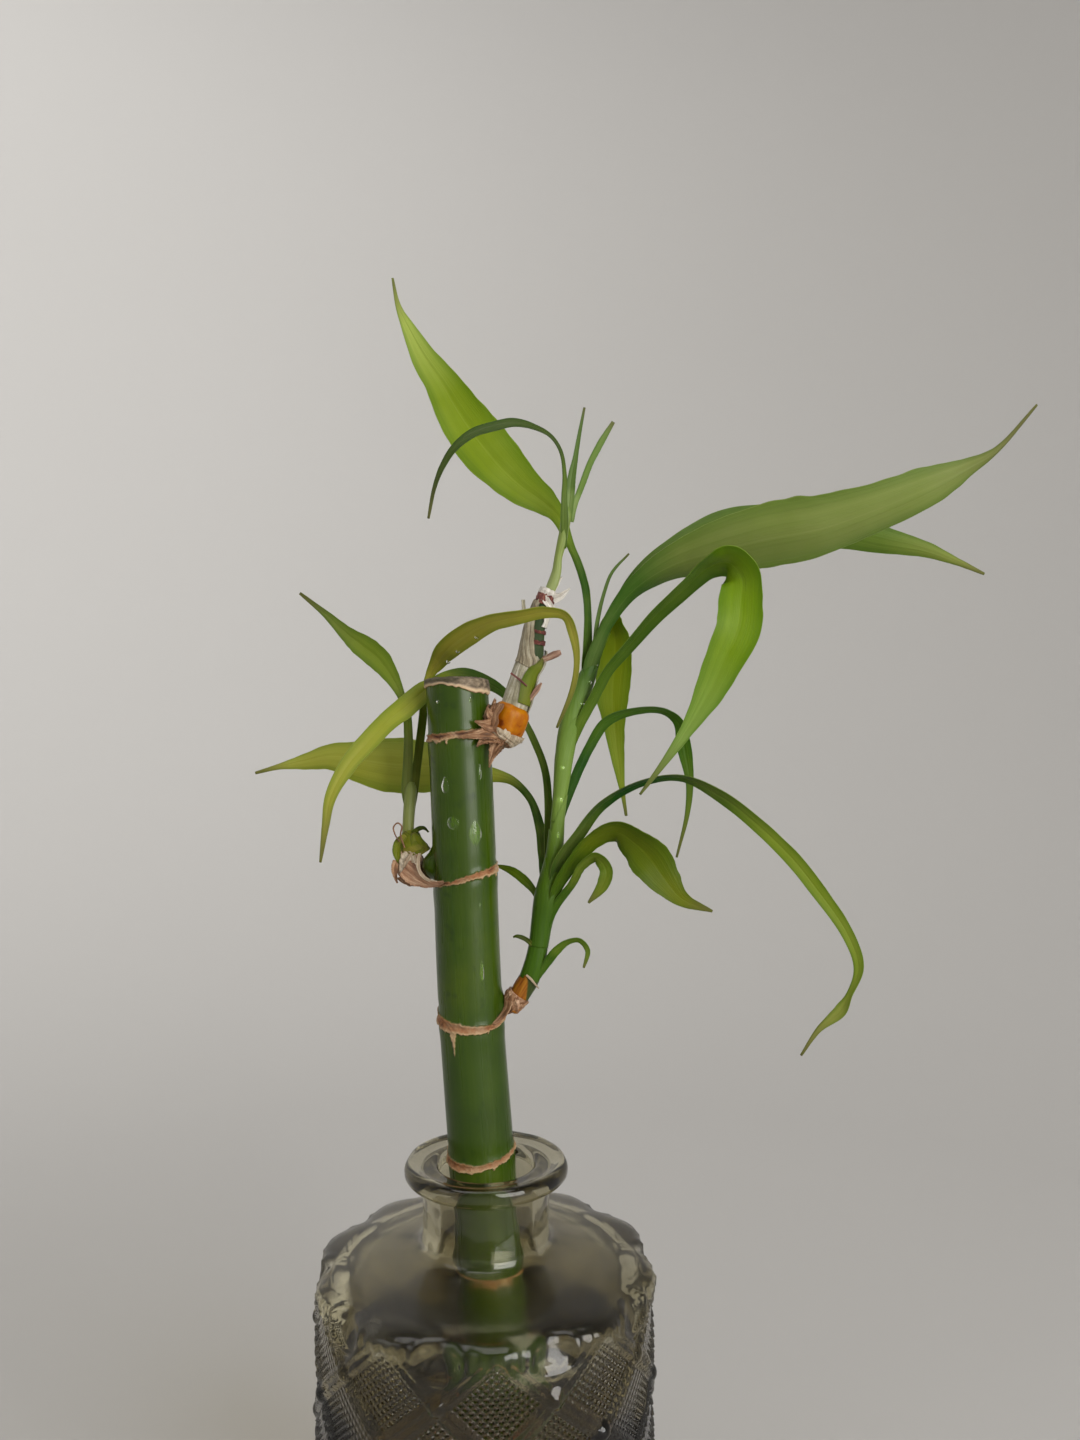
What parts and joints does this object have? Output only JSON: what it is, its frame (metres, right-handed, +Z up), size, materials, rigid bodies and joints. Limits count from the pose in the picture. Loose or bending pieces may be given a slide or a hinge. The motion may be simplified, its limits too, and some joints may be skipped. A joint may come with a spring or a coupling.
{
  "type": "lucky bamboo in a glass vase",
  "caption": "Leafy green cutting of lucky bamboo with dry husks and arching leaves, rooted in water in a round pressed glass bottle with a flat rim.",
  "frame": {"origin": "middle of the bottle's flat foot", "axes": "+Z up, +X to the right and +Y to the back as the plant is seen in the picture"},
  "size_m": [0.2158, 0.0896, 0.3836],
  "materials": {
    "glass": "smoky pressed glass, clear and glossy",
    "water": "clear still water",
    "cane_skin": "smooth waxy green skin with brown scars",
    "root_skin": "orange-brown, matt",
    "dry_husk": "dry papery brown",
    "bud_skin": "smooth orange skin, satin",
    "dry_sheath": "dry papery sheath, matt",
    "shoot_skin": "smooth green stem, satin",
    "leaf_green": "green leaf, satin",
    "leaf_yellow": "yellow-green leaf, satin",
    "leaf_dark": "dark green leaf, satin"
  },
  "bodies": {
    "root": {"glass_vase": "glass", "water": "water", "cane": "cane_skin", "roots": "root_skin", "left_husk": "dry_husk", "left_scales": "leaf_dark", "left_stem": "shoot_skin", "left_leaf_1": "leaf_yellow", "left_leaf_2": "leaf_yellow", "top_husk": "dry_husk", "top_bud": "bud_skin", "top_sheath": "dry_sheath", "top_stem": "shoot_skin", "top_leaf_1": "leaf_dark", "top_leaf_2": "leaf_green", "top_leaf_3": "leaf_green", "right_husk": "dry_husk", "right_base": "bud_skin", "right_stem": "shoot_skin", "right_leaf_01": "leaf_green", "right_leaf_02": "leaf_green", "right_leaf_03": "leaf_yellow", "right_leaf_04": "leaf_green", "right_leaf_05": "leaf_green", "right_leaf_06": "leaf_green", "right_leaf_07": "leaf_dark", "right_leaf_08": "leaf_green", "right_leaf_09": "leaf_green", "right_leaf_11": "leaf_yellow", "right_leaf_12": "leaf_yellow", "right_leaf_13": "leaf_dark", "right_leaf_14": "leaf_yellow", "right_leaf_15": "leaf_green"}
  },
  "joints": []
}
